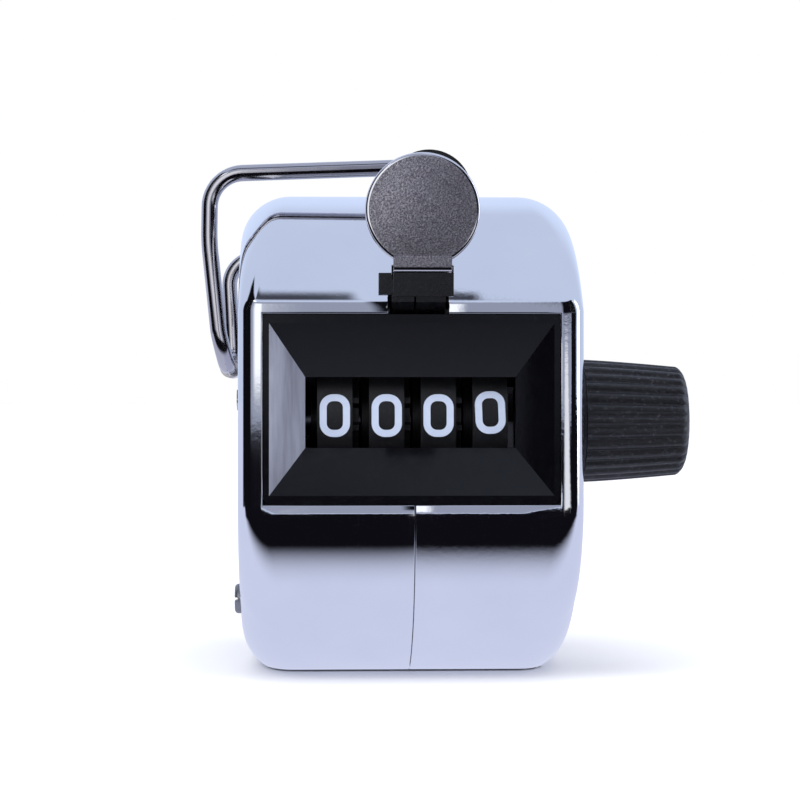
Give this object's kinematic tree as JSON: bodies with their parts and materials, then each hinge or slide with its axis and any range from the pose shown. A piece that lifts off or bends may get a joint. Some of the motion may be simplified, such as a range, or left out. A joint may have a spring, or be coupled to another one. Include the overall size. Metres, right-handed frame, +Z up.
{
  "type": "hand tally counter",
  "caption": "Hand-held tally counter: chromed drum case with digit wheels behind a bevelled window, a thumb lever, a fluted reset knob and a swinging wire finger ring.",
  "frame": {"origin": "centre of the small flat on the underside of the drum case that the counter rests on", "axes": "+X along the number-wheel shaft towards the reset knob, window facing -Y, +Z up"},
  "size_m": [0.0486, 0.0481, 0.0513],
  "materials": {
    "case_chrome": "bright chrome plate over pressed steel, faint waviness and fine scratches",
    "ring_chrome": "bright nickel-chrome plate on drawn wire, with fine rub marks",
    "pad_chrome": "satin grained face with a bright rolled rim",
    "bezel_plastic": "black moulding, polished bevels",
    "knob_plastic": "black moulding, dull flutes",
    "wheel_plastic": "black moulding, faint turning marks",
    "digit_print": "pale printed numerals, slightly uneven ink",
    "lever_black": "black finish, semi-gloss, worn at the edges",
    "mechanism_steel": "plain stamped and turned steel",
    "screw_steel": "darkened steel screw heads",
    "spring_steel": "drawn spring wire",
    "lug_steel": "plated folded strap",
    "brass": "plain machined brass"
  },
  "bodies": {
    "case": {"left_case_shell": "case_chrome", "right_case_shell": "case_chrome", "window_bezel": "bezel_plastic", "pinion_spacers": "brass", "pinion_shaft": "mechanism_steel", "shaft_bushes": "brass", "left_frame_plate": "mechanism_steel", "right_frame_plate": "mechanism_steel", "case_posts": "mechanism_steel", "case_screws": "screw_steel", "frame_tie_rods": "mechanism_steel", "lever_pivot_shaft": "mechanism_steel", "lever_return_spring": "spring_steel", "detent_pin": "mechanism_steel", "detent_spring": "spring_steel", "ring_lug": "lug_steel", "ring_lug_rivets": "lug_steel"},
    "reset_spindle": {"reset_shaft": "mechanism_steel", "reset_knob": "knob_plastic", "shaft_clip": "mechanism_steel"},
    "thumb_lever": {"thumb_pad": "pad_chrome", "lever_head": "lever_black", "lever_right_stem": "lever_black", "lever_left_stem": "lever_black", "lever_hub_arm": "mechanism_steel", "drive_pawl_pin": "mechanism_steel"},
    "drive_pawl": {"drive_pawl": "mechanism_steel"},
    "detent_pawl": {"detent_pawl": "mechanism_steel"},
    "finger_ring": {"finger_ring": "ring_chrome"},
    "thousands_wheel": {"thousands_wheel": "wheel_plastic", "thousands_reset_pawl": "brass"},
    "hundreds_wheel": {"hundreds_wheel": "wheel_plastic", "hundreds_reset_pawl": "brass"},
    "tens_wheel": {"tens_wheel": "wheel_plastic", "tens_reset_pawl": "brass"},
    "units_wheel": {"units_wheel": "wheel_plastic", "units_reset_pawl": "brass", "units_ratchet": "mechanism_steel"},
    "thousands_pinion": {"thousands_transfer_pinion": "brass"},
    "hundreds_pinion": {"hundreds_transfer_pinion": "brass"},
    "tens_pinion": {"tens_transfer_pinion": "brass"}
  },
  "joints": [
    {"name": "lever_press", "type": "hinge", "parent": "case", "child": "thumb_lever", "pos_m": [0, -0.0165, 0.0338], "axis": [-1, 0, 0], "range_deg": [0, 18], "stiffness_Nm_per_rad": 0.06, "springref_deg": -17.19},
    {"name": "drive_pawl_swing", "type": "hinge", "parent": "thumb_lever", "child": "drive_pawl", "pos_m": [0.0101, 0.0003, 0.0338], "axis": [-1, 0, 0], "range_deg": [-26, 2]},
    {"name": "detent_pawl_lift", "type": "hinge", "parent": "case", "child": "detent_pawl", "pos_m": [0.0101, -0.0134, 0.0176], "axis": [1, 0, 0], "range_deg": [0, 10], "stiffness_Nm_per_rad": 0.002, "springref_deg": -17.19},
    {"name": "reset_turn", "type": "hinge", "parent": "case", "child": "reset_spindle", "pos_m": [0, -0.0064, 0.0251], "axis": [1, 0, 0], "continuous": true},
    {"name": "ring_swing", "type": "hinge", "parent": "case", "child": "finger_ring", "pos_m": [-0.018, 0.004, 0.0307], "axis": [0, -1, 0], "range_deg": [0, 150]},
    {"name": "thousands_turn", "type": "hinge", "parent": "case", "child": "thousands_wheel", "pos_m": [-0.00725, -0.0064, 0.0251], "axis": [1, 0, 0], "continuous": true},
    {"name": "hundreds_turn", "type": "hinge", "parent": "case", "child": "hundreds_wheel", "pos_m": [-0.00225, -0.0064, 0.0251], "axis": [1, 0, 0], "continuous": true},
    {"name": "tens_turn", "type": "hinge", "parent": "case", "child": "tens_wheel", "pos_m": [0.00275, -0.0064, 0.0251], "axis": [1, 0, 0], "continuous": true},
    {"name": "units_turn", "type": "hinge", "parent": "case", "child": "units_wheel", "pos_m": [0.00775, -0.0064, 0.0251], "axis": [1, 0, 0], "continuous": true},
    {"name": "thousands_pinion_turn", "type": "hinge", "parent": "case", "child": "thousands_pinion", "pos_m": [-0.00475, 0.0008, 0.01652], "axis": [1, 0, 0], "continuous": true},
    {"name": "hundreds_pinion_turn", "type": "hinge", "parent": "case", "child": "hundreds_pinion", "pos_m": [0.00025, 0.0008, 0.01652], "axis": [1, 0, 0], "continuous": true},
    {"name": "tens_pinion_turn", "type": "hinge", "parent": "case", "child": "tens_pinion", "pos_m": [0.00525, 0.0008, 0.01652], "axis": [1, 0, 0], "continuous": true}
  ],
  "couplings": [
    {"joint": "thousands_pinion_turn", "follows": "thousands_turn", "ratio": -2.5},
    {"joint": "hundreds_pinion_turn", "follows": "hundreds_turn", "ratio": -2.5},
    {"joint": "tens_pinion_turn", "follows": "tens_turn", "ratio": -2.5},
    {"joint": "drive_pawl_swing", "follows": "lever_press", "ratio": -1.35}
  ]
}
